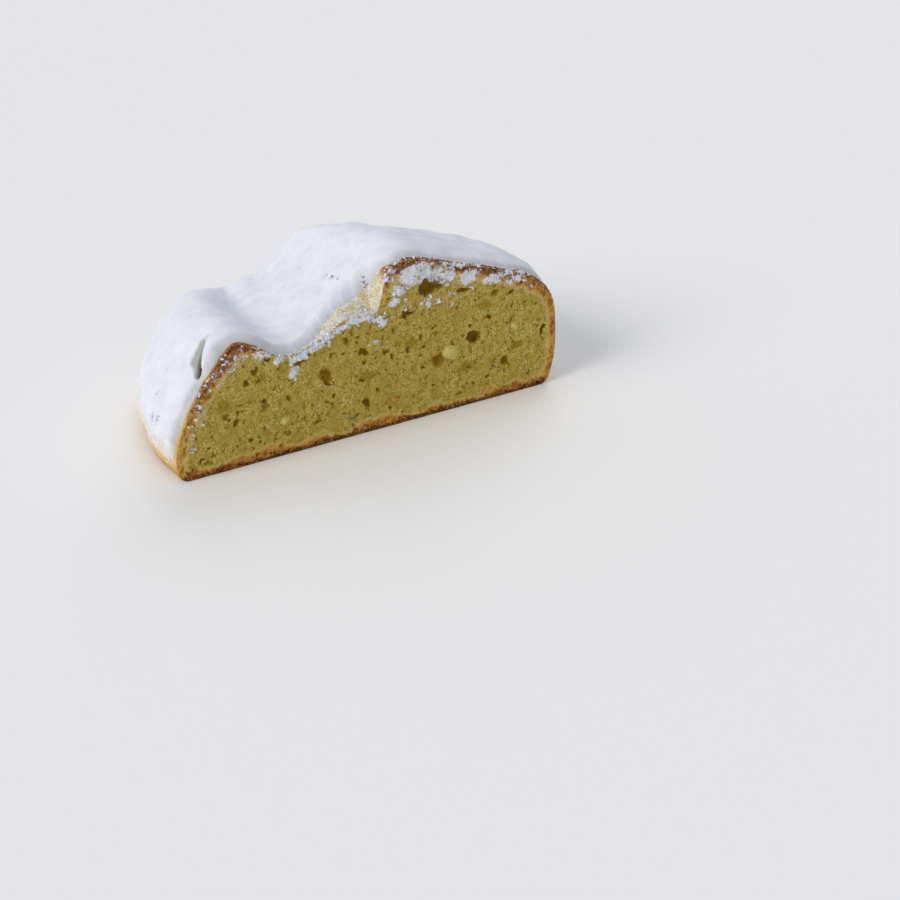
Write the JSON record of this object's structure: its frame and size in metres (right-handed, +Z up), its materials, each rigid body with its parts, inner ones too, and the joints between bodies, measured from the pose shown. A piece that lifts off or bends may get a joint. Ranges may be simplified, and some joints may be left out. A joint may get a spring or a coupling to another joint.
{
  "type": "stollen",
  "caption": "Cut half of a folded festive fruit loaf: a flat end of open yellow crumb, a rounded far end, a fold along the top and a thick coat of icing sugar, standing on its baked base",
  "frame": {"origin": "on the floor, under the middle of the half loaf's box", "axes": "+X across the loaf from its low lobe to its high lobe, +Y along the loaf from the cut face to the rounded end, +Z up"},
  "size_m": [0.1392, 0.0839, 0.0587],
  "materials": {
    "crumb": "cut and torn yeast crumb, porous and dull, with a thin golden-brown baked crust",
    "sugar": "thick coat of icing sugar, powdery and soft white"
  },
  "bodies": {
    "root": {"loaf": "crumb", "sugar_coat": "sugar"}
  },
  "joints": []
}
